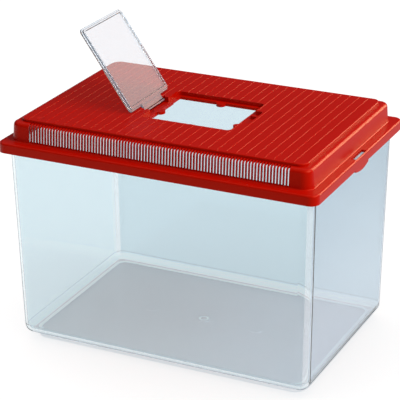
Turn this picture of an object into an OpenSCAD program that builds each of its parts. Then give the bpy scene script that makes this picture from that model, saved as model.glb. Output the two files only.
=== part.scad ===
// Pet keeper: a clear tub, a vented lid that snaps over the tub's rim, and a clear
// hatch in the lid that swings on two stub pins. Drawn in millimetres, +Z up, with
// the origin under the middle of the tub's foot. +X is the long way and the vent
// slots face -Y. The hatch is drawn as it lies shut and then swung open.

/* [Overall] */
// Length over the skirt of the lid
lid_l = 300; // [240:1:360]
// Width over the skirt of the lid
lid_w = 206.2; // [160:0.2:260]
// Height from the foot up to the lower edge of the skirt
skirt_z = 184; // [110:1:240]

/* [Tub] */
// Thickness of the tub's walls
tub_wall = 2.2; // [1.6:0.1:3]
// Thickness of the floor
floor_t = 2.5; // [1.8:0.1:3.5]
// How far each wall leans in between the rim and the floor
tub_draft = 3.6; // [1:0.1:8]
// Outer radius of the tub's upright corners
tub_corner_r = 10.5; // [9:0.5:20]
// Outer radius where the walls turn into the floor
tub_round_r = 7.5; // [4:0.5:8.5]
// Thickness of the rim that the lid sits on
rim_t = 2.5; // [1.5:0.1:4]
// How far the rim stands out from the wall
rim_reach = 3.8; // [2.5:0.1:4.5]
// Height of the foot
foot_h = 6.5; // [2:0.5:12]
// Width of the foot's ring
foot_t = 2.8; // [1.5:0.1:6]
// Distance from the end walls in to the foot
foot_inset_x = 8.7; // [8:0.1:30]
// Distance from the long walls in to the foot
foot_inset_y = 10.4; // [8:0.1:30]
// Outer radius of the foot's corners
foot_corner_r = 10.4; // [4:0.2:20]
// Radius of the round marks that moulding leaves in the floor
mark_r = 7; // [2:0.5:12]
// Depth of those marks
mark_deep = 0.5; // [0.1:0.1:1]
// Distance between the middle mark and the marks beside it
mark_gap = 53; // [30:1:90]

/* [Lid] */
// Thickness of the lid's walls
lid_wall = 2; // [1.4:0.1:2.4]
// Height of the skirt
skirt_h = 9; // [8:0.5:16]
// Outer radius of the skirt's corners
skirt_corner_r = 8; // [6:0.5:9]
// Rounding along the skirt's upper edge
skirt_round_r = 1.8; // [0.5:0.1:2]
// Width of the shoulder between the skirt's face and the crown
shoulder_w = 8.6; // [7.6:0.1:12]
// Height of the crown above the shoulder
crown_h = 17.2; // [12:0.1:30]
// How far the crown's walls lean in over their height
crown_draft = 1.4; // [0.2:0.1:2]
// Outer radius of the crown's corners
crown_corner_r = 9; // [8:0.5:12]
// Rounding along the crown's upper edge
crown_round_r = 3.5; // [2:0.1:4]
// Fillet between the crown and the shoulder
crown_fillet_r = 1.2; // [0.3:0.1:2]
// Distance from the skirt's face in to the edge of the raised panel, at the ends
panel_inset_x = 16.1; // [15.2:0.1:30]
// Distance from the skirt's face in to the edge of the raised panel, front and back
panel_inset_y = 15.4; // [14.8:0.1:24]
// Height of the raised panel above the crown
panel_step = 2.5; // [1:0.1:3]
// Radius of the panel's corners
panel_corner_r = 7.5; // [4:0.5:14]
// Rounding along the panel's edge
panel_round_r = 0.8; // [0.2:0.1:1]

/* [Panel ribs] */
// Number of low ribs across the panel
rib_count = 30; // [2:1:40]
// Distance from the panel's ends in to the outermost ribs
rib_margin = 9.78; // [6:0.02:20]
// Width of a rib
rib_w = 0.9; // [0.4:0.1:2]
// Height of a rib
rib_h = 0.3; // [0.1:0.1:1]
// Sideways shift of the row of ribs from the middle of the lid
rib_shift = -1.65; // [-3:0.05:3]
// Plain border left between the ribs' ends and the panel's edge
rib_border = 2; // [1.2:0.1:8]
// Radius of the dimple that moulding leaves in the panel
gate_r = 3.4; // [1:0.1:5]
// Depth of that dimple
gate_deep = 0.6; // [0.1:0.1:1]
// Distance from the panel's left end in to the dimple
gate_inset_x = 16.6; // [10:0.1:40]
// Distance from the panel's front edge in to the dimple
gate_inset_y = 8.1; // [4:0.1:30]

/* [Vents] */
// Number of slots in the front of the crown
slot_count = 88; // [10:1:88]
// Distance from the crown's ends in to the outermost slots
slot_margin = 20.2; // [14:0.1:30]
// Width of a slot
slot_w = 1.7; // [0.8:0.1:1.7]
// Height of the slots' lower ends above the shoulder
slot_rise = 1.3; // [1.2:0.1:6]
// Flat left between the slots' upper ends and the panel's step
slot_land = 0.8; // [0.4:0.1:1.2]

/* [Hatch opening] */
// Length of the recess that the hatch lies in
recess_l = 86.1; // [60:0.1:110]
// Width of the recess
recess_w = 74.3; // [50:0.1:100]
// Sideways place of the recess from the middle of the lid
recess_x = 1.85; // [-10:0.05:20]
// Front-to-back place of the recess from the middle of the lid
recess_y = -3.15; // [-12:0.05:12]
// Depth of the recess below the panel
recess_deep = 3.5; // [3.3:0.1:4.5]
// Radius of the recess's corners
recess_corner_r = 4.5; // [3:0.5:8]
// Width of the ledge that carries the hatch
ledge_w = 4.2; // [3.9:0.1:8]
// Thickness of the ledge
ledge_t = 2.5; // [1.5:0.1:4]
// Length of the two finger notches together
notch_l = 32; // [24:1:40]
// Place of the finger notches along the recess's edge, from its middle
notch_shift = 1.2; // [-4:0.1:4]
// Width of the finger notches
notch_w = 7; // [5:0.5:12]
// Thickness of the web between the finger notches
notch_web_t = 1.6; // [1:0.1:3]
// Place of that web along the notches, from their middle
notch_web_shift = 5; // [-6:0.5:6]
// Height of the web's top edge below the panel
notch_web_drop = 0.8; // [0.2:0.1:2]

/* [Hinge] */
// Distance from the recess's edge out to the pins' axis
hinge_reach = 4.7; // [4:0.1:6]
// Depth of the pins' axis below the panel
hinge_deep = 2.7; // [2.4:0.1:2.9]
// Radius of the stub pins
pin_r = 1.2; // [0.8:0.05:1.4]
// Length of each pin beyond the end of its barrel
pin_l = 2.4; // [1.5:0.1:4]
// Radius of the barrel that carries the pins
barrel_r = 1.7; // [1.6:0.1:1.8]
// Length of the tab between the pins
tab_l = 34.5; // [20:0.5:44]
// Angle that the hatch stands open at, up to its stop
hatch_angle = 125; // [0:5:125]

/* [Hatch] */
// Thickness of the hatch's plate
plate_t = 1.6; // [1.2:0.1:2]
// Distance from the plate's edge in to the wall below it
tray_lip = 1.6; // [0.8:0.1:3]
// Thickness of that wall
tray_wall = 1.7; // [1:0.1:3]
// Thickness of that wall at the hinge
tray_hinge_wall = 2.9; // [1.5:0.1:4]
// Rounding along the plate's upper edge
plate_round_r = 0.5; // [0.2:0.1:0.8]

/* [Latches] */
// Length of the pull tab below the skirt at each end
pull_l = 30; // [16:1:60]
// Depth of the pull tab at its ends
pull_side = 1.6; // [0.5:0.1:4]
// Depth of the pull tab in its middle
pull_deep = 3.9; // [2:0.1:8]
// Length of the window in the shoulder above each hook
window_l = 24; // [10:1:50]
// Distance from the skirt's face in to the window's outer edge
window_inset = 1; // [0.8:0.1:1.4]
// Width of the window
window_w = 4.5; // [2:0.1:5]
// How far each hook reaches in under the rim
hook_bite = 0.8; // [0.3:0.1:1.5]
// Height of the hook's flat nose
hook_nose = 0.8; // [0.3:0.1:1.5]

/* [Clearances] */
// Gap between the rim and the lid that lies on it
seat_gap = 0.2; // [0.1:0.05:0.5]
// Gap between the rim's edge and the inside of the skirt
rim_gap = 0.6; // [0.3:0.1:1]
// Gap between the rim's underside and the hooks
hook_gap = 0.3; // [0.1:0.1:1]
// Gap round the hatch in its recess
hatch_gap = 0.55; // [0.3:0.05:1]
// Least gap as the hatch swings past the edge of its recess
swing_gap = 0.32; // [0.2:0.02:0.6]
// Gap between the shut hatch and its ledge
ledge_gap = 0.3; // [0.1:0.05:0.6]
// Radial clearance of the pins in their seats
pin_gap = 0.05; // [0.02:0.01:0.1]
// Gap between each end of the tab and the hinge pocket
tab_gap = 0.5; // [0.3:0.1:1]

/* [Hidden] */
$fn = 64;
overcut = 1;

// Heights
floor_z = foot_h;
shoulder_z = skirt_z + skirt_h;
crown_z = shoulder_z + crown_h;
panel_z = crown_z + panel_step;
shoulder_under_z = shoulder_z - lid_wall;
rim_z = shoulder_under_z - seat_gap;

// Tub, worked out from the lid that has to fit over it
rim_l = lid_l - 2 * (lid_wall + rim_gap);
rim_w = lid_w - 2 * (lid_wall + rim_gap);
tub_l = rim_l - 2 * rim_reach;
tub_w = rim_w - 2 * rim_reach;
floor_l = tub_l - 2 * tub_draft;
floor_w = tub_w - 2 * tub_draft;
rim_corner_r = skirt_corner_r - lid_wall - rim_gap;

// Crown, panel and what stands in them
crown_l = lid_l - 2 * shoulder_w;
crown_w = lid_w - 2 * shoulder_w;
panel_l = lid_l - 2 * panel_inset_x;
panel_w = lid_w - 2 * panel_inset_y;
panel_under_z = panel_z - lid_wall;
rib_pitch = (panel_l - 2 * rib_margin) / (rib_count - 1);
rib_arc_r = (pow(rib_w / 2, 2) + pow(rib_h, 2)) / (2 * rib_h);
gate_ball_r = (pow(gate_r, 2) + pow(gate_deep, 2)) / (2 * gate_deep);
slot_pitch = (crown_l - 2 * slot_margin) / (slot_count - 1);
slot_inner_y = panel_w / 2 + slot_land;

// Recess, ledge and hinge pocket
ledge_z = panel_z - recess_deep;
opening_l = recess_l - 2 * ledge_w;
opening_w = recess_w - 2 * ledge_w;
opening_corner_r = max(recess_corner_r - ledge_w, 1);
recess_left = recess_x - recess_l / 2;
recess_right = recess_x + recess_l / 2;
hinge_x = recess_left - hinge_reach;
hinge_z = panel_z - hinge_deep;
pocket_l = tab_l + 2 * tab_gap;
pocket_side = barrel_r + 2.9;
pocket_left = hinge_x - pocket_side;
pocket_floor_z = hinge_z - barrel_r - 0.4;
seat_r = pin_r + pin_gap;
seat_deep = pin_l - tab_gap + 0.3;
boss_half = seat_r + 1.8;
boss_l = seat_deep + 1.4;
// The pins snap down into their seats through a gap a little narrower than they are
snap_gap = 1.5 * pin_r;

// Hatch, with its edge just clear of the recess as it swings
tray_start = sqrt(pow(hinge_reach + swing_gap, 2) + pow(hinge_deep, 2));
tray_end = recess_right - hatch_gap - hinge_x;
tray_w = recess_w - 2 * hatch_gap;
tray_corner_r = recess_corner_r - hatch_gap;
tray_top = hinge_deep;
tray_bottom = hinge_deep - recess_deep + ledge_gap;
plate_under = tray_top - plate_t;
tab_top = 1.2;

// Half-round supports round the opening: side, place along it, width and reach
SUPPORTS = [
    ["left", -7.35, 10, 5],
    ["right", -14, 7, 3.2],
    ["back", 2.15, 8.5, 5],
    ["front", 2.15, 8.5, 5]
];

// Rounded rectangle on the middle of the lid
module plan(l, w, r) {
    square([l - 2 * r, w], center = true);
    square([l, w - 2 * r], center = true);
    for (sx = [-1, 1], sy = [-1, 1])
        translate([sx * (l / 2 - r), sy * (w / 2 - r)])
            circle(r);
}

module slab(l, w, r, z0, z1) {
    translate([0, 0, z0])
        linear_extrude(z1 - z0)
            plan(l, w, r);
}

// Carries a section round a rounded rectangle whose corner centres are at cx, cy.
// The section's x runs outwards from those centres and its y is the height.
module carry_round(cx, cy) {
    corners = [[cx, cy], [-cx, cy], [-cx, -cy], [cx, -cy]];
    for (i = [0 : 3])
        translate(corners[i])
            rotate(90 * i) {
                rotate_extrude(angle = 90)
                    children();
                rotate([90, 0, 0])
                    linear_extrude(i % 2 == 0 ? 2 * cy : 2 * cx)
                        children();
            }
}

// Half section of a wall that leans in by draft and turns over into the top in an arc
module edge_section(reach, height, round_r, draft) {
    lean = atan(draft / height);
    arc_y = height - round_r;
    arc_x = reach - arc_y * tan(lean) - round_r / cos(lean);
    polygon([
        [0, 0],
        [reach, 0],
        [arc_x + round_r * cos(lean), arc_y + round_r * sin(lean)],
        [arc_x, arc_y],
        [arc_x, height],
        [0, height]
    ]);
    translate([arc_x, arc_y])
        intersection() {
            circle(round_r);
            square(round_r);
        }
}

// Block with rounded upright corners, a rounded upper edge and leaning walls
module block(l, w, corner_r, z0, z1, round_r, draft = 0) {
    cx = l / 2 - corner_r;
    cy = w / 2 - corner_r;
    translate([0, 0, z0]) {
        translate([-cx, -cy, 0])
            cube([2 * cx, 2 * cy, z1 - z0]);
        carry_round(cx, cy)
            edge_section(corner_r, z1 - z0, round_r, draft);
    }
}

// Tub form at a given inset from its outer faces, from z0 up to z1
module tub_form(inset, z0, z1) {
    corner = tub_corner_r - inset;
    bead = tub_round_r - inset;
    hull()
        for (sx = [-1, 1], sy = [-1, 1]) {
            translate([sx * (half_l(z0) - tub_corner_r), sy * (half_w(z0) - tub_corner_r), z0 + bead])
                rotate_extrude($fn = 32)
                    translate([corner - bead, 0])
                        intersection() {
                            circle(bead, $fn = 32);
                            translate([0, -bead])
                                square(bead);
                        }
            translate([sx * (half_l(z1) - tub_corner_r), sy * (half_w(z1) - tub_corner_r), z1 - 0.01])
                cylinder(0.01, r = corner, $fn = 32);
        }
}

// Half length and half width of the tub's outside at a height
function leaned(z) = tub_draft * (rim_z - z) / (rim_z - floor_z);
function half_l(z) = tub_l / 2 - leaned(z);
function half_w(z) = tub_w / 2 - leaned(z);

module foot_ring() {
    foot_l = floor_l - 2 * foot_inset_x;
    foot_w = floor_w - 2 * foot_inset_y;
    difference() {
        slab(foot_l, foot_w, foot_corner_r, 0, floor_z + floor_t / 2);
        slab(foot_l - 2 * foot_t, foot_w - 2 * foot_t, foot_corner_r - foot_t, -overcut, floor_z);
    }
}

// Shallow marks under the floor, the middle one round the stub where the tub was filled
module floor_marks() {
    difference() {
        for (i = [-1 : 1])
            translate([i * mark_gap, 0, floor_z - overcut])
                cylinder(overcut + mark_deep, r = mark_r);
        translate([0, 0, floor_z])
            cylinder(floor_t, r = mark_r / 5);
    }
}

// Clear tub: leaning walls, a rim for the lid and a ring for a foot
module tub() {
    color("lightcyan", 0.5)
        difference() {
            union() {
                tub_form(0, floor_z, rim_z);
                slab(rim_l, rim_w, rim_corner_r, rim_z - rim_t, rim_z);
                foot_ring();
            }
            tub_form(tub_wall, floor_z + floor_t, rim_z + overcut);
            floor_marks();
        }
}

// Outside of the lid: skirt, shoulder, crown and raised panel
module lid_outside() {
    block(lid_l, lid_w, skirt_corner_r, skirt_z, shoulder_z, skirt_round_r);
    block(crown_l, crown_w, crown_corner_r, shoulder_z - lid_wall / 2, crown_z, crown_round_r, crown_draft);
    block(panel_l, panel_w, panel_corner_r, crown_z - lid_wall / 2, panel_z, panel_round_r);
    crown_fillet();
    ribs();
}

// Low ribs with rounded tops that run across the panel
module ribs() {
    rib_l = panel_w - 2 * rib_border;
    for (i = [0 : rib_count - 1])
        translate([rib_shift + (i - (rib_count - 1) / 2) * rib_pitch, rib_l / 2, panel_z + rib_h - rib_arc_r])
            rotate([90, 0, 0])
                cylinder(rib_l, r = rib_arc_r);
}

// Hollow fillet that carries the crown's wall over into the shoulder
module crown_fillet() {
    cx = crown_l / 2 - crown_corner_r;
    cy = crown_w / 2 - crown_corner_r;
    translate([0, 0, shoulder_z])
        carry_round(cx, cy)
            translate([crown_corner_r, 0])
                difference() {
                    translate([-lid_wall / 2, -lid_wall / 2])
                        square(crown_fillet_r + lid_wall / 2);
                    translate([crown_fillet_r, crown_fillet_r])
                        circle(crown_fillet_r);
                }
}

// Inside of the lid, which follows the outside at the wall's thickness
module lid_inside() {
    t = lid_wall;
    slab(lid_l - 2 * t, lid_w - 2 * t, skirt_corner_r - t, skirt_z - overcut, shoulder_under_z);
    block(
        crown_l - 2 * t, crown_w - 2 * t, crown_corner_r - t,
        shoulder_under_z - overcut, crown_z - t, crown_round_r - t, crown_draft
    );
    slab(panel_l - 2 * t, panel_w - 2 * t, panel_corner_r - t, crown_z - 2 * t, panel_under_z);
}

// Dimple where the lid was filled in moulding
module gate_dimple() {
    translate([gate_inset_x - panel_l / 2, gate_inset_y - panel_w / 2, panel_z - gate_deep])
        translate([0, 0, gate_ball_r])
            sphere(gate_ball_r);
}

// Row of vent slots, from low in the crown's front wall up and over its rounded edge
module vents() {
    outer_y = crown_w / 2 + overcut;
    for (i = [0 : slot_count - 1])
        translate([(i - (slot_count - 1) / 2) * slot_pitch - slot_w / 2, -outer_y, shoulder_z + slot_rise])
            cube([slot_w, outer_y - slot_inner_y, crown_h]);
}

// Pan below the panel that holds the recess, the ledge and the hinge pocket
module recess_pan() {
    t = lid_wall;
    translate([recess_x, recess_y, 0])
        slab(recess_l + 2 * t, recess_w + 2 * t, recess_corner_r + t, ledge_z - ledge_t, panel_z - t / 2);
    translate([pocket_left - t, recess_y - pocket_l / 2 - t, pocket_floor_z - t])
        cube([recess_left + ledge_w - pocket_left + t, pocket_l + 2 * t, panel_z - t / 2 - pocket_floor_z + t]);
    translate([hinge_x - boss_half, recess_y - pocket_l / 2 - boss_l, hinge_z - boss_half])
        cube([2 * boss_half, pocket_l + 2 * boss_l, panel_z - t / 2 - hinge_z + boss_half]);
    translate([recess_right - t, recess_y + notch_shift - notch_l / 2 - t, ledge_z - t])
        cube([notch_w + 2 * t, notch_l + 2 * t, panel_z - t / 2 - ledge_z + t]);
}

// Everything cut out of the panel round the hatch
module recess_cuts() {
    translate([recess_x, recess_y, 0]) {
        slab(recess_l, recess_w, recess_corner_r, ledge_z, panel_z + overcut);
        slab(opening_l, opening_w, opening_corner_r, pocket_floor_z - lid_wall - overcut, panel_z);
    }
    translate([pocket_left, recess_y - pocket_l / 2, pocket_floor_z])
        cube([recess_left + overcut - pocket_left, pocket_l, panel_z + overcut - pocket_floor_z]);
    finger_notches();
    pin_seats();
}

module finger_notches() {
    corner = notch_w * 0.4;
    translate([recess_right, recess_y + notch_shift, 0])
        difference() {
            slab(2 * notch_w, notch_l, corner, ledge_z, panel_z + overcut);
            translate([0, notch_web_shift - notch_web_t / 2, ledge_z - overcut])
                cube([notch_w + overcut, notch_web_t, recess_deep - notch_web_drop + overcut]);
        }
}

// Round seats for the pins, open at the top through the snap gap
module pin_seats() {
    reach = pocket_l / 2 + seat_deep;
    translate([hinge_x, recess_y - reach, hinge_z]) {
        rotate([-90, 0, 0])
            cylinder(2 * reach, r = seat_r);
        translate([-snap_gap / 2, 0, 0])
            cube([snap_gap, 2 * reach, hinge_deep + rib_h + overcut]);
    }
}

// Half-round supports that stand into the opening from the ledge
module supports() {
    for (s = SUPPORTS)
        translate([recess_x, recess_y, ledge_z - ledge_t])
            linear_extrude(ledge_t)
                support_plan(s[0], s[1], s[2], s[3]);
}

module support_plan(side, along, width, reach) {
    turn = side == "left" ? 0 : side == "right" ? 180 : side == "back" ? -90 : 90;
    edge = side == "left" || side == "right" ? opening_l / 2 : opening_w / 2;
    shift = side == "right" || side == "front" ? -along : along;
    rotate(turn)
        translate([-edge, shift]) {
            translate([-ledge_w / 2, -width / 2])
                square([ledge_w / 2 + reach - width / 2 + 0.01, width]);
            translate([reach - width / 2, 0])
                circle(width / 2);
        }
}

// Pull tab below the skirt and hook under the rim, at the end of the lid that side names
module latch(side) {
    sag = pull_deep - pull_side;
    arc_r = (pow(pull_l / 2, 2) + pow(sag, 2)) / (2 * sag);
    hook_top = rim_z - rim_t - hook_gap;
    hook_l = window_l - 2 * rim_gap;
    hook_depth = hook_bite + rim_gap;
    mirror([side < 0 ? 1 : 0, 0, 0])
        translate([lid_l / 2 - lid_wall, 0, 0]) {
            translate([0, 0, skirt_z])
                rotate([90, 0, 90])
                    linear_extrude(lid_wall)
                        intersection() {
                            translate([0, arc_r - pull_deep])
                                circle(arc_r, $fn = 180);
                            translate([-pull_l / 2, -pull_deep])
                                square([pull_l, pull_deep + skirt_h / 2]);
                        }
            translate([0, hook_l / 2, hook_top])
                rotate([90, 0, 0])
                    linear_extrude(hook_l)
                        polygon([
                            [lid_wall / 2, 0],
                            [-hook_depth, 0],
                            [-hook_depth, -hook_nose],
                            [0, -hook_nose - 2 * hook_depth],
                            [lid_wall / 2, -hook_nose - 2 * hook_depth]
                        ]);
        }
}

module latch_windows() {
    for (side = [-1, 1])
        translate([side * (lid_l / 2 - window_inset - window_w / 2), 0, shoulder_z])
            cube([window_w, window_l, 2 * lid_wall + overcut], center = true);
}

// Opaque lid with its vents, hatch recess, hinge seats and latches
module lid() {
    color("firebrick")
        union() {
            difference() {
                union() {
                    difference() {
                        lid_outside();
                        lid_inside();
                        vents();
                        latch_windows();
                        gate_dimple();
                    }
                    recess_pan();
                }
                recess_cuts();
            }
            supports();
            for (side = [-1, 1])
                latch(side);
        }
}

// Hatch as it lies shut, with its pins' axis on the Y axis and its plate towards +X
module shut_hatch() {
    tray_l = tray_end - tray_start;
    tray_x = tray_start + tray_l / 2;
    hollow_start = tray_start + tray_lip + tray_hinge_wall;
    hollow_end = tray_end - tray_lip - tray_wall;
    hollow_l = hollow_end - hollow_start;
    wall_inset = tray_lip + tray_wall;
    translate([tray_x, 0, 0])
        block(tray_l, tray_w, tray_corner_r, plate_under, tray_top, plate_round_r);
    difference() {
        translate([tray_x, 0, 0])
            slab(
                tray_l - 2 * tray_lip, tray_w - 2 * tray_lip, tray_corner_r - tray_lip,
                tray_bottom, plate_under
            );
        translate([hollow_start + hollow_l / 2, 0, 0])
            slab(
                hollow_l, tray_w - 2 * wall_inset, tray_corner_r - tray_lip,
                tray_bottom - overcut, plate_under
            );
    }
    hinge_tab();
}

// Tab between the tray and the pins
module hinge_tab() {
    barrel_l = tab_l - 2 * barrel_r;
    translate([0, -tab_l / 2, tray_bottom])
        cube([tray_start + tray_lip + tray_hinge_wall / 2, tab_l, tab_top - tray_bottom]);
    rotate([90, 0, 0]) {
        cylinder(barrel_l, r = barrel_r, center = true);
        cylinder(tab_l + 2 * pin_l, r = pin_r, center = true);
    }
    for (side = [-1, 1])
        translate([0, side * barrel_l / 2, 0])
            sphere(barrel_r);
}

// Clear hatch, swung open about its pins
module hatch() {
    color("lightcyan", 0.5)
        translate([hinge_x, recess_y, hinge_z])
            rotate([0, -hatch_angle, 0])
                shut_hatch();
}

tub();
lid();
hatch();
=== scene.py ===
"""Looks of a plastic pet keeper: a clear tub, a red vented lid and a clear hatch.

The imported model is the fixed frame. Its axes hold here: +X is the long way, the vent
slots face -Y and the foot stands on z = 0. Sizes are in millimetres, except those whose
names end in _m, which are in metres. Angles are in degrees.
"""

from __future__ import annotations

import logging
import math
from dataclasses import dataclass
from enum import Enum
from typing import Sequence

import bmesh
import bpy
from mathutils import Matrix, Vector

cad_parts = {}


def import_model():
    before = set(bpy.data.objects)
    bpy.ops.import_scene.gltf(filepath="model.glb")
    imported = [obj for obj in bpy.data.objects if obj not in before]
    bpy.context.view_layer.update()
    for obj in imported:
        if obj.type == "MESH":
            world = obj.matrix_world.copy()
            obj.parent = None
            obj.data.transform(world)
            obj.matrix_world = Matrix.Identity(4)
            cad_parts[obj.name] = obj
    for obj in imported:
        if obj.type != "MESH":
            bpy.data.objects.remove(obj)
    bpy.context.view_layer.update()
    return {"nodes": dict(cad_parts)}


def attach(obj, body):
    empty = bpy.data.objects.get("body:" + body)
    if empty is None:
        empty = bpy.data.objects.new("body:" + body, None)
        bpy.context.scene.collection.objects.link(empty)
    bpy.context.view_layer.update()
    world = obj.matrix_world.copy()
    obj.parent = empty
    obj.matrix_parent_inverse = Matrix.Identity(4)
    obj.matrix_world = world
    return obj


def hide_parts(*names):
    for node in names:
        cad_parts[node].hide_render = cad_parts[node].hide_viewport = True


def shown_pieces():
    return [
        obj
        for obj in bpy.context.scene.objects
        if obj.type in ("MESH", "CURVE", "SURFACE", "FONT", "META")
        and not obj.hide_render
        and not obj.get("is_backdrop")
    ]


LOG = logging.getLogger("pet_keeper")
MM = 0.001

# Steps in a small edge round, and in a very small one
EDGE_STEPS = 3
FINE_STEPS = 2

# Radius at the ends of a turned profile, which stop just short of the axis
AXIS_R = 0.001
LEAST_CORNER = 0.05


# Shapes


class Joining(Enum):
    """What combine does with the other solids."""

    ADD = "UNION"
    CUT = "DIFFERENCE"


@dataclass(frozen=True)
class Ring:
    """One level of a shell: a rounded rectangle that lies flat.

    half_x and half_y are its half sizes, corner is the radius of its corners, z its
    height, and x and y its middle.
    """

    half_x: float
    half_y: float
    corner: float
    z: float
    x: float = 0.0
    y: float = 0.0

    def grown(self, out: float, z: float) -> Ring:
        """Gives the ring moved outwards and set at another height.

        Args:
            out: How far every side moves outwards. The corners' radius grows as much.
            z: The new height.

        Returns:
            The new ring.
        """
        corner = max(self.corner + out, LEAST_CORNER)
        return Ring(self.half_x + out, self.half_y + out, corner, z, self.x, self.y)

    def points(self, steps: int) -> list[Vector]:
        """Gives the ring's points, anticlockwise from above.

        Args:
            steps: Steps round each corner.

        Returns:
            The points, steps + 1 at each corner.
        """
        found = []
        for turn, (side_x, side_y) in enumerate(((1, 1), (-1, 1), (-1, -1), (1, -1))):
            x = self.x + side_x * (self.half_x - self.corner)
            y = self.y + side_y * (self.half_y - self.corner)
            for i in range(steps + 1):
                a = math.radians(90 * (turn + i / steps))
                found.append(Vector((x + self.corner * math.cos(a), y + self.corner * math.sin(a), self.z)))
        return found


def arc(x: float, y: float, r: float, start: float, end: float, steps: int) -> list[tuple[float, float]]:
    """Gives points along an arc.

    Args:
        x: The centre's first coordinate.
        y: The centre's second coordinate.
        r: The radius.
        start: Angle of the first point.
        end: Angle of the last point.
        steps: Steps between them.

    Returns:
        The points from start to end.
    """
    angles = [math.radians(start + (end - start) * i / steps) for i in range(steps + 1)]
    return [(x + r * math.cos(a), y + r * math.sin(a)) for a in angles]


def skin(rows: Sequence[Sequence[Sequence[float]]], looped: bool = False) -> bmesh.types.BMesh:
    """Joins rows of points, each of which closes on itself, into a closed skin.

    Args:
        rows: The rows in order, all with the same number of points.
        looped: True joins the last row to the first. False gives each end a flat cap.

    Returns:
        The mesh.
    """
    mesh = bmesh.new()
    loops = [[mesh.verts.new(point) for point in row] for row in rows]
    pairs = list(zip(loops, loops[1:]))
    if looped:
        pairs.append((loops[-1], loops[0]))
    for low, high in pairs:
        for i in range(len(low)):
            j = (i + 1) % len(low)
            mesh.faces.new((low[i], low[j], high[j], high[i]))
    if not looped:
        mesh.faces.new(list(reversed(loops[0])))
        mesh.faces.new(loops[-1])
    return mesh


def loft(rings: Sequence[Ring], steps: int) -> bmesh.types.BMesh:
    """Joins rings in their order into a closed skin, with this many steps round each corner."""
    return skin([ring.points(steps) for ring in rings])


def lathe(profile: Sequence[tuple[float, float]], steps: int, looped: bool = False) -> bmesh.types.BMesh:
    """Turns a profile round the Z axis into a closed skin.

    Args:
        profile: Radius and height of each point, in order.
        steps: Steps round the axis.
        looped: True for a profile that is a loop beside the axis, and False for one that
            starts and ends at the axis.

    Returns:
        The mesh.
    """
    angles = [math.tau * i / steps for i in range(steps)]
    if looped:
        return skin([[(r * math.cos(a), r * math.sin(a), z) for r, z in profile] for a in angles], True)
    return skin([[(r * math.cos(a), r * math.sin(a), z) for a in angles] for r, z in profile])


def prism(outline: Sequence[tuple[float, float]], low: float, high: float) -> bmesh.types.BMesh:
    """Extrudes an outline, given as x and z, along Y between two ends."""
    return skin([[(x, y, z) for x, z in outline] for y in (low, high)])


def mesh_object(name: str, mesh: bmesh.types.BMesh, place: Matrix | None = None) -> bpy.types.Object:
    """Turns a mesh in millimetres into a linked object in metres.

    Args:
        name: The piece's name.
        mesh: The mesh, which is freed.
        place: Where the mesh goes, in millimetres.

    Returns:
        The object, at the origin.
    """
    mesh.transform(Matrix.Diagonal((MM, MM, MM, 1)) @ (place or Matrix.Identity(4)))
    bmesh.ops.recalc_face_normals(mesh, faces=mesh.faces)
    data = bpy.data.meshes.new(name)
    mesh.to_mesh(data)
    mesh.free()
    piece = bpy.data.objects.new(name, data)
    bpy.context.scene.collection.objects.link(piece)
    return piece


def combine(piece: bpy.types.Object, others: Sequence[bpy.types.Object], joining: Joining) -> None:
    """Adds other solids to a piece or cuts them out of it, and removes them.

    Args:
        piece: The piece that is changed.
        others: The other solids.
        joining: Whether they are added or cut out.
    """
    for other in others:
        step = piece.modifiers.new(other.name, "BOOLEAN")
        step.operation = joining.value
        step.solver = "EXACT"
        step.object = other
    ready = piece.evaluated_get(bpy.context.evaluated_depsgraph_get())
    data = bpy.data.meshes.new_from_object(ready)
    piece.modifiers.clear()
    old, piece.data = piece.data, data
    bpy.data.meshes.remove(old)
    data.name = piece.name
    for other in others:
        bpy.data.objects.remove(other)


def smooth(piece: bpy.types.Object, sharp_above: float = 40.0, flatness: int = 80) -> None:
    """Shades a piece smooth, keeps its sharp edges, and lets its flat faces stay flat.

    Args:
        piece: The piece.
        sharp_above: Edges that turn by more than this stay sharp.
        flatness: How much the larger faces at a corner lead its shading. 50 is neutral
            and 100 the most.
    """
    piece.data.shade_smooth()
    piece.data.set_sharp_from_angle(angle=math.radians(sharp_above))
    step = piece.modifiers.new("flat_faces", "WEIGHTED_NORMAL")
    step.keep_sharp = True
    step.weight = flatness


# Finishes


def linear(colour: str) -> tuple[float, float, float, float]:
    """Turns an sRGB hex colour into a linear one.

    Args:
        colour: The colour, such as #aa1100.

    Returns:
        Red, green and blue, and an alpha of 1.
    """
    parts = [int(colour[i : i + 2], 16) / 255 for i in (1, 3, 5)]
    r, g, b = (p / 12.92 if p <= 0.04045 else ((p + 0.055) / 1.055) ** 2.4 for p in parts)
    return r, g, b, 1.0


def add_node(
    tree: bpy.types.NodeTree,
    kind: str,
    inputs: dict[str | int, object] | None = None,
    **settings: object,
) -> bpy.types.Node:
    """Adds a node with its settings, values and links.

    Args:
        tree: The node tree.
        kind: The node's Blender type.
        inputs: A value, or an output socket to link, for each input's name or number.
        **settings: The node's own properties.

    Returns:
        The node.
    """
    node = tree.nodes.new(kind)
    for name, value in settings.items():
        setattr(node, name, value)
    for name, value in (inputs or {}).items():
        if isinstance(value, bpy.types.NodeSocket):
            tree.links.new(value, node.inputs[name])
        else:
            node.inputs[name].default_value = value
    return node


def new_material(name: str) -> tuple[bpy.types.Material, bpy.types.NodeTree]:
    """Makes an empty node material.

    Args:
        name: The material's name.

    Returns:
        The material and its node tree.
    """
    material = bpy.data.materials.new(name)
    material.use_nodes = True
    material.node_tree.nodes.clear()
    return material, material.node_tree


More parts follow.
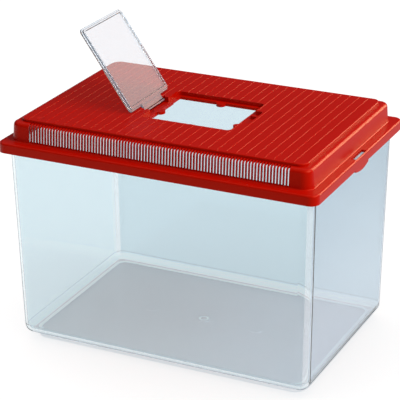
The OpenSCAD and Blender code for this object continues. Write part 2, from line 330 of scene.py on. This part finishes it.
@dataclass(frozen=True)
class GlossyRedPolystyrene:
    """Impact polystyrene dyed red and moulded in a polished tool.

    The eye sees a deep even red under a soft gloss with a warm cast. The tool's polish
    leaves a faint long wave in that gloss, and its marks a slight spread of roughness.
    Real marks are far finer than mark_mm, and are drawn as coarse as they need to be to
    show. The rounded tops of the panel's ribs mirror less than the rest.
    """

    name: str = "red_polystyrene_glossy_moulded"
    colour: str = "#ab0900"
    shine_tint: str = "#ffac7c"
    ior: float = 1.59

    # Specular levels of the lid and of the ribs' tops, and the heights between which the
    # one turns into the other. The level differs over the lid, so it reaches the shader
    # by a link, which the exported model does without.
    specular: float = 0.14
    rib_specular: float = 0.05
    rib_z: tuple[float, float] = (212.6, 212.8)

    # Roughness at the two ends of mark_span, in which the values of the marks' noise
    # mostly lie
    roughness: tuple[float, float] = (0.28, 0.32)
    mark_span: tuple[float, float] = (0.3, 0.7)
    mark_mm: float = 4.0
    mark_detail: float = 3.0
    mark_rough: float = 0.6

    wave_mm: float = 14.0
    wave_detail: float = 0.0
    wave_deep: float = 0.02
    wave_strength: float = 0.2

    def material(self) -> bpy.types.Material:
        """Builds the material.

        Returns:
            The material.
        """
        material, tree = new_material(self.name)
        place = add_node(tree, "ShaderNodeTexCoord").outputs["Object"]
        wave = add_node(
            tree,
            "ShaderNodeTexNoise",
            {"Vector": place, "Scale": 1 / (self.wave_mm * MM), "Detail": self.wave_detail},
        )
        marks = add_node(
            tree,
            "ShaderNodeTexNoise",
            {
                "Vector": place,
                "Scale": 1 / (self.mark_mm * MM),
                "Detail": self.mark_detail,
                "Roughness": self.mark_rough,
            },
        )
        spread = add_node(
            tree,
            "ShaderNodeMapRange",
            {
                "Value": marks.outputs["Fac"],
                "From Min": self.mark_span[0],
                "From Max": self.mark_span[1],
                "To Min": self.roughness[0],
                "To Max": self.roughness[1],
            },
        )
        bump = add_node(
            tree,
            "ShaderNodeBump",
            {
                "Height": wave.outputs["Fac"],
                "Strength": self.wave_strength,
                "Distance": self.wave_deep * MM,
            },
        )
        height = add_node(tree, "ShaderNodeSeparateXYZ", {"Vector": place})
        gloss = add_node(
            tree,
            "ShaderNodeMapRange",
            {
                "Value": height.outputs["Z"],
                "From Min": self.rib_z[0] * MM,
                "From Max": self.rib_z[1] * MM,
                "To Min": self.specular,
                "To Max": self.rib_specular,
            },
        )
        shader = add_node(
            tree,
            "ShaderNodeBsdfPrincipled",
            {
                "Base Color": linear(self.colour),
                "Roughness": spread.outputs["Result"],
                "IOR": self.ior,
                "Specular IOR Level": gloss.outputs["Result"],
                "Specular Tint": linear(self.shine_tint),
                "Normal": bump.outputs["Normal"],
            },
        )
        add_node(tree, "ShaderNodeOutputMaterial", {"Surface": shader.outputs["BSDF"]})
        return material


@dataclass(frozen=True)
class ClearPolystyrene:
    """General purpose polystyrene, moulded clear in a polished tool.

    The eye sees thin glass with a cool tint and a faint long wave in what it mirrors.
    Where the surface turns away, its reflection gives way to a plain film of the edge's
    tint: painted shade, which draws the outlines.
    Light from lamps and from lit surfaces passes straight through it. A clear share
    below 1 makes it a little milky.
    """

    name: str
    tint: str
    clear_share: float = 1.0
    roughness: float = 0.02
    ior: float = 1.59

    # The tint of the film, a painted shade that stands in for the glass's own look edge on,
    # and how far a face turns away, from 0 when square to the eye to 1 when edge on, where
    # the film starts and where it is all that shows
    painted_edge_tint: str = "#8fa0ac"
    edge_facing: tuple[float, float] = (0.68, 0.92)

    # Share of the tinted light that passes on to what is lit through the plastic
    lit_share: float = 0.97

    wave_mm: float = 40.0
    wave_detail: float = 1.0
    wave_rough: float = 0.4
    wave_deep: float = 0.02
    wave_strength: float = 0.3

    def material(self) -> bpy.types.Material:
        """Builds the material.

        Returns:
            The material.
        """
        material, tree = new_material(self.name)
        place = add_node(tree, "ShaderNodeTexCoord").outputs["Object"]
        wave = add_node(
            tree,
            "ShaderNodeTexNoise",
            {
                "Vector": place,
                "Scale": 1 / (self.wave_mm * MM),
                "Detail": self.wave_detail,
                "Roughness": self.wave_rough,
            },
        )
        bump = add_node(
            tree,
            "ShaderNodeBump",
            {
                "Height": wave.outputs["Fac"],
                "Strength": self.wave_strength,
                "Distance": self.wave_deep * MM,
            },
        )
        edge = add_node(
            tree,
            "ShaderNodeMapRange",
            {
                "Value": add_node(tree, "ShaderNodeLayerWeight").outputs["Facing"],
                "From Min": self.edge_facing[0],
                "From Max": self.edge_facing[1],
            },
            interpolation_type="SMOOTHSTEP",
        )
        glass = add_node(
            tree,
            "ShaderNodeBsdfPrincipled",
            {
                "Base Color": linear(self.tint),
                "Roughness": self.roughness,
                "IOR": self.ior,
                "Transmission Weight": self.clear_share,
                "Normal": bump.outputs["Normal"],
            },
        )
        # Painted edge: a plain tinted film in place of the glass's reflection and refraction where it turns
        # away
        film = add_node(tree, "ShaderNodeBsdfTransparent", {"Color": linear(self.painted_edge_tint)})
        seen = add_node(
            tree,
            "ShaderNodeMixShader",
            {"Fac": edge.outputs["Result"], 1: glass.outputs["BSDF"], 2: film.outputs["BSDF"]},
        )
        passed = [share * self.lit_share for share in linear(self.tint)[:3]] + [1.0]
        through = add_node(tree, "ShaderNodeBsdfTransparent", {"Color": passed})
        path = add_node(tree, "ShaderNodeLightPath")
        surface = seen
        for ray in ("Is Diffuse Ray", "Is Shadow Ray"):
            surface = add_node(
                tree,
                "ShaderNodeMixShader",
                {"Fac": path.outputs[ray], 1: surface.outputs["Shader"], 2: through.outputs["BSDF"]},
            )
        add_node(tree, "ShaderNodeOutputMaterial", {"Surface": surface.outputs["Shader"]})
        return material


@dataclass(frozen=True)
class PaleTable:
    """Opal acrylic table top with a matt face, lit softly from below.

    The eye sees an even pale surface with no gloss, whose glow lifts the shadow under the
    keeper. Out in front and to the right its colour is painted darker, to grey: painted
    shade, which shows in what the keeper mirrors.
    """

    name: str = "opal_acrylic_matt"
    colour: str = "#fbfbfa"
    painted_shade_colour: str = "#bab7b6"
    glow: float = 0.71
    roughness: float = 0.9

    # The way that the photograph looks over the table, as a direction in X and Y, and how
    # far along it from the keeper's middle the painted dimming in front starts and ends
    way: tuple[float, float] = (-0.4371, 0.8994)
    front_m: tuple[float, float] = (-0.2, -0.6)

    # Slant to the right of that way at which the other painted dimming starts and ends, as
    # seen from eye_m in front of the keeper, and the least distance that it is divided by
    right: tuple[float, float] = (0.112, 0.26)
    eye_m: float = 1.6
    least_m: float = 0.5

    def material(self) -> bpy.types.Material:
        """Builds the material.

        Returns:
            The material.
        """
        material, tree = new_material(self.name)
        place = add_node(tree, "ShaderNodeTexCoord").outputs["Object"]
        x, y = self.way
        along, aside = (
            add_node(
                tree, "ShaderNodeVectorMath", {0: place, 1: way}, operation="DOT_PRODUCT"
            ).outputs["Value"]
            for way in ((x, y, 0), (y, -x, 0))
        )
        reach = add_node(tree, "ShaderNodeMath", {0: along, 1: self.eye_m}, operation="ADD")
        reach = add_node(
            tree,
            "ShaderNodeMath",
            {0: reach.outputs["Value"], 1: self.least_m},
            operation="MAXIMUM",
        )
        slant = add_node(
            tree, "ShaderNodeMath", {0: aside, 1: reach.outputs["Value"]}, operation="DIVIDE"
        )
        dims = [
            add_node(
                tree,
                "ShaderNodeMapRange",
                {"Value": value, "From Min": start, "From Max": end},
                interpolation_type="SMOOTHSTEP",
            ).outputs["Result"]
            for value, (start, end) in ((along, self.front_m), (slant.outputs["Value"], self.right))
        ]
        # Painted shade: colour and glow turn to the darker colour out in front and to the right
        far = add_node(tree, "ShaderNodeMath", {0: dims[0], 1: dims[1]}, operation="MAXIMUM")
        # Inputs 6 and 7 and output 2 of a Mix node are its colours
        colour = add_node(
            tree,
            "ShaderNodeMix",
            {"Factor": far.outputs["Value"], 6: linear(self.colour), 7: linear(self.painted_shade_colour)},
            data_type="RGBA",
        )
        shader = add_node(
            tree,
            "ShaderNodeBsdfPrincipled",
            {
                "Base Color": colour.outputs[2],
                "Roughness": self.roughness,
                "Specular IOR Level": 0.0,
                "Emission Color": colour.outputs[2],
                "Emission Strength": self.glow,
            },
        )
        material.cycles.emission_sampling = "NONE"
        add_node(tree, "ShaderNodeOutputMaterial", {"Surface": shader.outputs["BSDF"]})
        return material


class Zone(Enum):
    """Zones of the tub that have a finish each."""

    NEAR = "front pane and every flat"
    LEFT = "left pane and bottom round"
    BASE = "floor's underside"
    PAINTED_HIGHLIGHT = "pale corners and the upright faces of the middle mark"
    LINE = "parting line inside"
    BACK = "back pane"
    FOOT = "foot and the groove in the middle mark"
    RIGHT = "right pane"


# An edge_facing that makes all faces film but those nearly square to the eye, so that
# thin edges show no broken refraction
FILM_ONLY = (0.0, 0.3)

# In the order of the tub's material slots. All are one clear plastic: the left, right and back panes and
# the bottom round are tinted darker than the near panes, which is painted shade.
TUB_FINISHES = {
    Zone.NEAR: ClearPolystyrene("clear_polystyrene_near_panes", "#eef6f8"),
    Zone.LEFT: ClearPolystyrene("clear_polystyrene_left_pane_painted_shade", "#e0ecf1"),
    Zone.BASE: ClearPolystyrene(
        "clear_polystyrene_satin_base", "#fdfafe", clear_share=0.82, roughness=0.5
    ),
    # A paler, milkier tint on two corners and the middle mark's upright faces: a painted highlight
    Zone.PAINTED_HIGHLIGHT: ClearPolystyrene("clear_polystyrene_painted_corner_highlight", "#f6f9fb", clear_share=0.88),
    # A darker tint on the parting line inside: a painted dark line
    Zone.LINE: ClearPolystyrene("clear_polystyrene_painted_dark_line", "#9fb0ba"),
    Zone.BACK: ClearPolystyrene("clear_polystyrene_back_pane_painted_shade", "#cbdce4"),
    Zone.FOOT: ClearPolystyrene(
        "clear_polystyrene_foot", "#fdfdfe", painted_edge_tint="#eff2f4", edge_facing=FILM_ONLY
    ),
    Zone.RIGHT: ClearPolystyrene("clear_polystyrene_right_pane_painted_shade", "#e3edf6"),
}


# Pieces


@dataclass
class Tub:
    """The clear tub: leaning walls, rounded corners, a rim and a ring for a foot."""

    # Rim, walls and floor, with the walls' lean from their top down to the floor, and the
    # outer radius between walls and floor
    rim: Ring = Ring(147.4, 100.5, 5.4, 190.8)
    rim_t: float = 2.5
    wall_top: Ring = Ring(143.6, 96.7, 10.5, 190.8)
    lean: float = 3.6
    wall: float = 2.2
    floor_z: float = 6.5
    floor_t: float = 2.5
    round_r: float = 7.5
    foot: Ring = Ring(131.3, 82.7, 10.4, 0.0)
    foot_t: float = 2.8
    edge_r: float = 0.5

    # Moulding marks under the floor: the middle one has the gate's stub in it and a
    # groove round that
    mark_r: float = 7.0
    mark_deep: float = 0.5
    mark_gap: float = 53.0
    stub_r: float = 1.4
    groove_r: tuple[float, float] = (3.0, 4.6)
    groove_deep: float = 0.35
    overcut: float = 1.0

    # Step and height of the parting line inside, just above the bottom round
    seam: float = 0.2
    seam_h: float = 0.5

    # Steps round each corner, round the bottom outside and inside, and round a mark
    corner_steps: int = 18
    round_steps: tuple[int, int] = (12, 10)
    mark_steps: int = 64

    # How a face's zone is told. A face is upright, level or facing down by the z of its
    # normal, and on the bottom round that z is between the two of slope. Pale corners, on
    # which a pale band is a painted highlight, are between the two angles of painted_highlight_turn from
    # X on the near right and far left corners. The base reaches a little beyond the foot,
    # and ends a little under the floor's top.
    upright: float = 0.3
    level: float = 0.7
    down: float = -0.5
    slope: tuple[float, float] = (0.2, 0.98)
    painted_highlight_turn: tuple[float, float] = (18.0, 55.0)
    base_reach: float = 2.0
    base_gap: float = 0.2
    slack: float = 0.1

    @property
    def inner_z(self) -> float:
        """Height of the floor's top."""
        return self.floor_z + self.floor_t

    @property
    def seam_z(self) -> float:
        """Height of the parting line's lower edge, where the inner round ends."""
        return self.inner_z + self.round_r - self.wall

    def outside(self, z: float) -> Ring:
        """Gives the outside of the leaning walls at a height.

        Args:
            z: The height.

        Returns:
            The ring there.
        """
        top = self.wall_top
        inset = self.lean * (top.z - z) / (top.z - self.floor_z)
        return Ring(top.half_x - inset, top.half_y - inset, top.corner, z)

    def bottom_round(self, inset: float, z: float, steps: int) -> list[Ring]:
        """Gives the rings of the round between the floor and the walls.

        Args:
            inset: How far inside the tub's outer faces it lies.
            z: Height of the flat that it starts from.
            steps: Steps round it.

        Returns:
            The rings from the flat up to the wall.
        """
        r = self.round_r - inset
        base = self.outside(z)
        return [base.grown(-inset - r + x, y) for x, y in arc(0, z + r, r, -90, 0, steps)]

    def foot_rings(self) -> list[Ring]:
        """Gives the rings of the foot.

        Returns:
            The rings from the floor inside the foot to the floor outside it.
        """
        r, t = self.edge_r, self.foot_t
        path = (
            arc(-t - r, self.floor_z - r, r, 90, 0, EDGE_STEPS)
            + arc(-t + r, r, r, 180, 270, EDGE_STEPS)
            + arc(-r, r, r, 270, 360, EDGE_STEPS)
            + arc(r, self.floor_z - r, r, 180, 90, EDGE_STEPS)
        )
        return [self.foot.grown(x, y) for x, y in path]

    def rim_rings(self) -> list[Ring]:
        """Gives the rings of the rim.

        Returns:
            The rings from the outer wall to the inner one.
        """
        r, z = self.edge_r, self.rim.z
        under = z - self.rim_t
        outer, inner = self.outside(under), self.outside(z)
        path = arc(-r, under + r, r, -90, 0, EDGE_STEPS) + arc(-r, z - r, r, 0, 90, EDGE_STEPS)
        return (
            [outer.grown(x, y) for x, y in arc(r, under - r, r, 180, 90, EDGE_STEPS)]
            + [self.rim.grown(x, y) for x, y in path]
            + [inner.grown(-self.wall + x, y) for x, y in arc(r, z - r, r, 90, 180, EDGE_STEPS)]
        )

    def marks(self) -> list[bpy.types.Object]:
        """Builds the cutters of the shallow marks that moulding leaves under the floor.

        Returns:
            The cutters: a disc on each side, and in the middle a ring round the stub.
        """
        low, top = self.floor_z - self.overcut, self.floor_z + self.mark_deep
        disc = [(AXIS_R, low), (self.mark_r, low), (self.mark_r, top), (AXIS_R, top)]
        deep, slope = top + self.groove_deep, self.groove_deep / 2
        inner, outer = self.groove_r
        groove = [(outer, top), (outer - slope, deep), (inner + slope, deep), (inner, top)]
        ring = disc[1:3] + groove + [(self.stub_r, top), (self.stub_r, low)]
        made = []
        for i, profile in enumerate((disc, ring, disc)):
            mesh = lathe(profile, self.mark_steps, looped=profile is ring)
            place = Matrix.Translation(((i - 1) * self.mark_gap, 0, 0))
            made.append(mesh_object(f"mark_{i}", mesh, place))
        return made

    def build(self) -> bpy.types.Object:
        """Builds the tub as one closed skin.

        Returns:
            The tub.
        """
        outer_steps, inner_steps = self.round_steps
        seam_top = self.seam_z + self.seam_h
        inner_round = self.bottom_round(self.wall, self.inner_z, inner_steps)
        rings = (
            self.foot_rings()
            + self.bottom_round(0, self.floor_z, outer_steps)
            + self.rim_rings()
            + [self.outside(seam_top).grown(-self.wall, seam_top)]
            + [ring.grown(-self.seam, ring.z) for ring in reversed(inner_round)]
        )
        tub = mesh_object("tub_shell", loft(rings, self.corner_steps))
        combine(tub, self.marks(), Joining.CUT)
        smooth(tub)
        return tub

    def on_seam(self, place: Vector) -> bool:
        """Tells whether a face lies on the parting line inside.

        Args:
            place: The face's middle.

        Returns:
            True on the line.
        """
        if not self.seam_z < place.z < self.seam_z + self.seam_h:
            return False
        middle = self.outside(place.z).grown(-self.wall / 2, place.z)
        return abs(place.x) < middle.half_x and abs(place.y) < middle.half_y

    def base_zone(self, place: Vector, normal: Vector) -> Zone | None:
        """Tells which zone a face of the floor's underside or of the foot has.

        Args:
            place: The face's middle.
            normal: The face's normal.

        Returns:
            The zone, or None for a face that lies elsewhere.
        """
        if place.z >= self.inner_z - self.base_gap:
            return None
        if place.z > self.floor_z and math.hypot(place.x, place.y) < self.mark_r + self.slack:
            # The middle mark's upright faces take the painted highlight
            if abs(normal.z) < self.upright:
                return Zone.PAINTED_HIGHLIGHT
            if place.z > self.floor_z + self.mark_deep + self.slack:
                return Zone.FOOT
        reach = self.base_reach
        inside = abs(place.x) < self.foot.half_x + reach and abs(place.y) < self.foot.half_y + reach
        low = normal.z < self.down or place.z < self.floor_z + 2 * self.mark_deep
        if not (inside and low):
            return None
        return Zone.FOOT if place.z < self.floor_z - self.slack else Zone.BASE

    def pane_zone(self, place: Vector, normal: Vector) -> Zone:
        """Tells which zone a face of the walls, the rim, the rounds or the inside has.

        Args:
            place: The face's middle.
            normal: The face's normal.

        Returns:
            The zone.
        """
        turn = math.degrees(math.atan2(abs(normal.y), abs(normal.x)))
        # A pale band of painted highlight on the near right and far left corners
        pale = self.painted_highlight_turn[0] < turn < self.painted_highlight_turn[1] and place.x * place.y < 0
        if pale and abs(normal.z) < self.upright:
            return Zone.PAINTED_HIGHLIGHT
        if place.z < self.seam_z and self.slope[0] < abs(normal.z) < self.slope[1]:
            return Zone.LEFT
        if abs(normal.z) > self.level:
            return Zone.NEAR
        if abs(normal.x) > abs(normal.y):
            return Zone.LEFT if place.x < 0 else Zone.RIGHT
        return Zone.BACK if place.y > 0 else Zone.NEAR

    def zone(self, place: Vector, normal: Vector) -> Zone:
        """Tells which zone a face has.

        Args:
            place: The face's middle.
            normal: The face's normal.

        Returns:
            The zone.
        """
        # The parting line's faces take a painted dark line
        if self.on_seam(place):
            return Zone.LINE
        return self.base_zone(place, normal) or self.pane_zone(place, normal)

    def dress(self, tub: bpy.types.Object) -> None:
        """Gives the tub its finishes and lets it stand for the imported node.

        Args:
            tub: The tub.
        """
        tub.data.materials.clear()
        for finish in TUB_FINISHES.values():
            tub.data.materials.append(finish.material())
        numbers = {zone: number for number, zone in enumerate(TUB_FINISHES)}
        for face in tub.data.polygons:
            face.material_index = numbers[self.zone(face.center / MM, face.normal)]
        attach(tub, "tub")
        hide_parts("tub")
        LOG.info("tub: %d faces", len(tub.data.polygons))


@dataclass
class Hatch:
    """The clear hatch: a plate with a low wall under it and a tab with two stub pins.

    Its sizes are given as it lies shut, with x and z measured from the hinge's axis,
    which goes through the point axis.
    """

    axis: tuple[float, float, float] = (-45.9, -3.15, 210.0)
    angle: float = 125.0

    # Plate from start to end on X and from under to top on Z, with its wall, which stands
    # lip inside the plate's edge and reaches down to bottom
    start: float = 5.7
    end: float = 90.25
    half_w: float = 36.6
    corner: float = 3.95
    top: float = 2.7
    under: float = 1.1
    bottom: float = -0.5
    lip: float = 1.6
    wall: float = 1.7
    hinge_wall: float = 2.9
    edge_r: float = 0.5
    fine_r: float = 0.2
    corner_steps: int = 12

    # Tab along the axis, its barrel, whose ends are domed from dome_from, and the pins
    tab_l: float = 34.5
    tab_top: float = 1.2
    tab_under: float = -0.5
    barrel_r: float = 1.7
    dome_from: float = -45.0
    dome_steps: int = 4
    pin_r: float = 1.2
    pin_l: float = 2.4
    turned_steps: int = 32

    # A face has the plate's finish where the cosine between its normal and the plate's is
    # above plate_facing. The others, its sides and rounds, take a greyer film all over,
    # which is painted shade that draws the hatch's outlines.
    plate_facing: float = 0.9
    plate_finish: ClearPolystyrene = ClearPolystyrene(
        "clear_polystyrene_hatch", "#e6edf4", clear_share=0.88
    )
    painted_outline_finish: ClearPolystyrene = ClearPolystyrene(
        "clear_polystyrene_hatch_painted_outline", "#e4e9ed", painted_edge_tint="#c4ccd3", edge_facing=FILM_ONLY
    )

    def tray(self) -> bmesh.types.BMesh:
        """Builds the plate and its wall as one skin, lying shut.

        Returns:
            The mesh.
        """
        r, fine = self.edge_r, self.fine_r
        middle = (self.start + self.end) / 2
        plate = Ring((self.end - self.start) / 2, self.half_w, self.corner, self.top, middle)
        foot = plate.grown(-self.lip, self.bottom)
        hollow_start = self.start + self.lip + self.hinge_wall
        hollow_end = self.end - self.lip - self.wall
        hollow = Ring(
            (hollow_end - hollow_start) / 2,
            self.half_w - self.lip - self.wall,
            self.corner - self.lip,
            self.bottom,
            (hollow_start + hollow_end) / 2,
        )
        inside = arc(-r, self.under - r, r, 90, 0, EDGE_STEPS)
        inside += arc(r, self.bottom + r, r, 180, 270, EDGE_STEPS)
        outside = arc(-r, self.bottom + r, r, 270, 360, EDGE_STEPS)
        outside += arc(fine, self.under - fine, fine, 180, 90, FINE_STEPS)
        rim = arc(-r, self.under + r, r, 270, 360, EDGE_STEPS)
        rim += arc(-r, self.top - r, r, 0, 90, EDGE_STEPS)
        rings = (
            [hollow.grown(x, y) for x, y in inside]
            + [foot.grown(x, y) for x, y in outside]
            + [plate.grown(x, y) for x, y in rim]
        )
        return loft(rings, self.corner_steps)

    def tab(self) -> list[bpy.types.Object]:
        """Builds the tab, and the barrel with its pins, lying shut.

        Returns:
            The tab and the barrel.
        """
        reach = self.start + self.lip + self.hinge_wall / 2
        half = self.tab_l / 2
        low, high = self.tab_under, self.tab_top
        slab = mesh_object("tab", prism([(0, low), (reach, low), (reach, high), (0, high)], -half, half))
        tip, r, fine = -half - self.pin_l, self.barrel_r, self.fine_r
        side = (
            [(AXIS_R, tip)]
            + arc(self.pin_r - fine, tip + fine, fine, -90, 0, FINE_STEPS)
            + [(self.pin_r, -half)]
            + arc(0, -half + r, r, self.dome_from, 0, self.dome_steps)
        )
        profile = side + [(radius, -along) for radius, along in reversed(side)]
        turn = Matrix.Rotation(math.radians(90), 4, "X")
        return [slab, mesh_object("barrel", lathe(profile, self.turned_steps), turn)]

    def build(self) -> bpy.types.Object:
        """Builds the hatch and swings it open to its stop.

        Returns:
            The hatch.
        """
        hatch = mesh_object("hatch_tray", self.tray())
        combine(hatch, self.tab(), Joining.ADD)
        swing = Matrix.Rotation(math.radians(-self.angle), 4, "Y")
        hatch.data.transform(Matrix.Translation(Vector(self.axis) * MM) @ swing)
        smooth(hatch)
        return hatch

    def dress(self, hatch: bpy.types.Object) -> None:
        """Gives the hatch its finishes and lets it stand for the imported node.

        Args:
            hatch: The hatch, open at its stop.
        """
        hatch.data.materials.clear()
        for finish in (self.plate_finish, self.painted_outline_finish):
            hatch.data.materials.append(finish.material())
        swing = math.radians(self.angle)
        flat = Vector((-math.sin(swing), 0, math.cos(swing)))
        for face in hatch.data.polygons:
            # Sides and rounds take the grey film of the painted outline
            face.material_index = 0 if abs(face.normal.dot(flat)) > self.plate_facing else 1
        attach(hatch, "hatch")
        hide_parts("hatch")
        LOG.info("hatch: %d faces", len(hatch.data.polygons))


@dataclass
class Lid:
    """The red lid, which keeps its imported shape."""

    finish: GlossyRedPolystyrene = GlossyRedPolystyrene()
    flatness: int = 100

    def dress(self, node: bpy.types.Object) -> None:
        """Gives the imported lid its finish, and keeps its flat faces flat.

        Args:
            node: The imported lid.
        """
        material = self.finish.material()
        for slot in node.material_slots:
            slot.material = material
        step = node.modifiers.new("flat_faces", "WEIGHTED_NORMAL")
        step.weight = self.flatness
        LOG.info("lid: %d faces", len(node.data.polygons))


# Studio


class Lit(Enum):
    """What a lamp lights: the pieces whose names start with this."""

    KEEPER = ""
    LID = "lid"
    HATCH = "hatch"


@dataclass(frozen=True)
class SoftBox:
    """A soft rectangular lamp, with its power in watts.

    One for gloss only shows in what its pieces mirror, and doesn't light their colour.
    """

    name: str
    place_m: tuple[float, float, float]
    size_m: tuple[float, float]
    power: float
    lit: Lit
    colour: str = "#ffffff"
    gloss_only: bool = False

    def hang(self, pieces: Sequence[bpy.types.Object], aim_m: Vector) -> None:
        """Hangs the lamp.

        Args:
            pieces: The keeper's pieces.
            aim_m: The point that it faces.
        """
        data = bpy.data.lights.new(self.name, "AREA")
        data.shape = "RECTANGLE"
        data.size, data.size_y = self.size_m
        data.energy = self.power
        data.color = linear(self.colour)[:3]
        lamp = bpy.data.objects.new(self.name, data)
        lamp.location = self.place_m
        lamp.rotation_euler = (aim_m - Vector(self.place_m)).to_track_quat("-Z", "Y").to_euler()
        lamp.visible_diffuse = not self.gloss_only
        bpy.context.scene.collection.objects.link(lamp)
        reached = bpy.data.collections.new(f"lit_by_{self.name}")
        for piece in pieces:
            if piece.name.startswith(self.lit.value):
                reached.objects.link(piece)
        lamp.light_linking.receiver_collection = reached


@dataclass
class Studio:
    """Pale table, soft lights and the camera at the photograph's angle."""

    table_half: float = 15000.0
    table_z: float = -0.1

    # Strength of the sky low down and high up, and the angles above the horizon between
    # which the one turns into the other
    sky_colour: str = "#fcfdff"
    low_sky: float = 0.09
    high_sky: float = 0.68
    sky_edge: tuple[float, float] = (28.0, 52.0)

    boxes: tuple[SoftBox, ...] = (
        SoftBox("soft_box_key", (1.6, -0.15, 1.45), (1.5, 1.3), 54.0, Lit.KEEPER),
        SoftBox(
            "shine_box_back",
            (0.95, 1.75, 0.95),
            (0.6, 1.5),
            28.0,
            Lit.LID,
            colour="#fff2c4",
            gloss_only=True,
        ),
        SoftBox(
            "shine_card_back",
            (1.1, 1.75, 0.6),
            (1.6, 1.1),
            6.0,
            Lit.HATCH,
            colour="#ffba82",
            gloss_only=True,
        ),
    )
    aim_m: tuple[float, float, float] = (0.0, 0.0, 0.12)

    # The camera as it was fitted to the photograph
    camera_place: tuple[float, float, float] = (624.12, -1291.04, 722.72)
    azimuth: float = 25.9224
    elevation: float = 22.5965
    roll: float = -0.4878
    lens: float = 155.834
    sensor: float = 36.0
    clip_m: tuple[float, float] = (0.05, 60.0)

    # Bounces of light in all, through clear surfaces, and through plain see-through ones
    bounces: int = 24
    clear_bounces: int = 24
    film_bounces: int = 32

    def table(self) -> None:
        """Lays the pale table just under the foot."""
        mesh = bmesh.new()
        bmesh.ops.create_grid(mesh, x_segments=1, y_segments=1, size=self.table_half)
        floor = mesh_object("table", mesh, Matrix.Translation((0, 0, self.table_z)))
        if floor.data.polygons[0].normal.z < 0:
            floor.data.flip_normals()
        floor.data.materials.append(PaleTable().material())
        floor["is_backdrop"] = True

    def sky(self) -> None:
        """Hangs a soft white tent overhead that fades out towards the horizon."""
        world = bpy.data.worlds.new("studio")
        bpy.context.scene.world = world
        world.use_nodes = True
        tree = world.node_tree
        tree.nodes.clear()
        direction = add_node(tree, "ShaderNodeTexCoord").outputs["Generated"]
        height = add_node(tree, "ShaderNodeSeparateXYZ", {"Vector": direction})
        start, end = (math.sin(math.radians(a)) for a in self.sky_edge)
        strength = add_node(
            tree,
            "ShaderNodeMapRange",
            {
                "Value": height.outputs["Z"],
                "From Min": start,
                "From Max": end,
                "To Min": self.low_sky,
                "To Max": self.high_sky,
            },
            interpolation_type="SMOOTHSTEP",
        )
        background = add_node(
            tree,
            "ShaderNodeBackground",
            {"Color": linear(self.sky_colour), "Strength": strength.outputs["Result"]},
        )
        add_node(tree, "ShaderNodeOutputWorld", {"Surface": background.outputs["Background"]})

    def lamps(self) -> None:
        """Hangs the soft boxes, kept off the table so that they cast no shadow there."""
        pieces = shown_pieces()
        for box in self.boxes:
            box.hang(pieces, Vector(self.aim_m))

    def camera(self) -> None:
        """Sets the camera at the photograph's place, angle and zoom."""
        a, e, roll = (math.radians(v) for v in (self.azimuth, self.elevation, self.roll))
        back = Vector((math.sin(a) * math.cos(e), -math.cos(a) * math.cos(e), math.sin(e)))
        level = Vector((math.cos(a), math.sin(a), 0))
        up = back.cross(level)
        right = level * math.cos(roll) + up * math.sin(roll)
        up = up * math.cos(roll) - level * math.sin(roll)
        data = bpy.data.cameras.new("camera")
        data.lens, data.sensor_width = self.lens, self.sensor
        data.clip_start, data.clip_end = self.clip_m
        camera = bpy.data.objects.new("camera", data)
        turn = Matrix((right, up, back)).transposed().to_4x4()
        camera.matrix_world = Matrix.Translation(Vector(self.camera_place) * MM) @ turn
        bpy.context.scene.collection.objects.link(camera)
        bpy.context.scene.camera = camera

    def build(self) -> None:
        """Builds the whole studio."""
        self.table()
        self.sky()
        self.lamps()
        self.camera()
        scene = bpy.context.scene
        scene.view_settings.view_transform = "Standard"
        scene.cycles.max_bounces = self.bounces
        scene.cycles.transmission_bounces = self.clear_bounces
        scene.cycles.transparent_max_bounces = self.film_bounces


def main() -> None:
    """Builds the pieces and the studio."""
    logging.basicConfig(level=logging.INFO, format="%(name)s: %(message)s")
    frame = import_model()
    tub, lid, hatch = Tub(), Lid(), Hatch()
    tub.dress(tub.build())
    lid.dress(frame["nodes"]["lid"])
    hatch.dress(hatch.build())
    Studio().build()


if __name__ == "__main__":
    main()
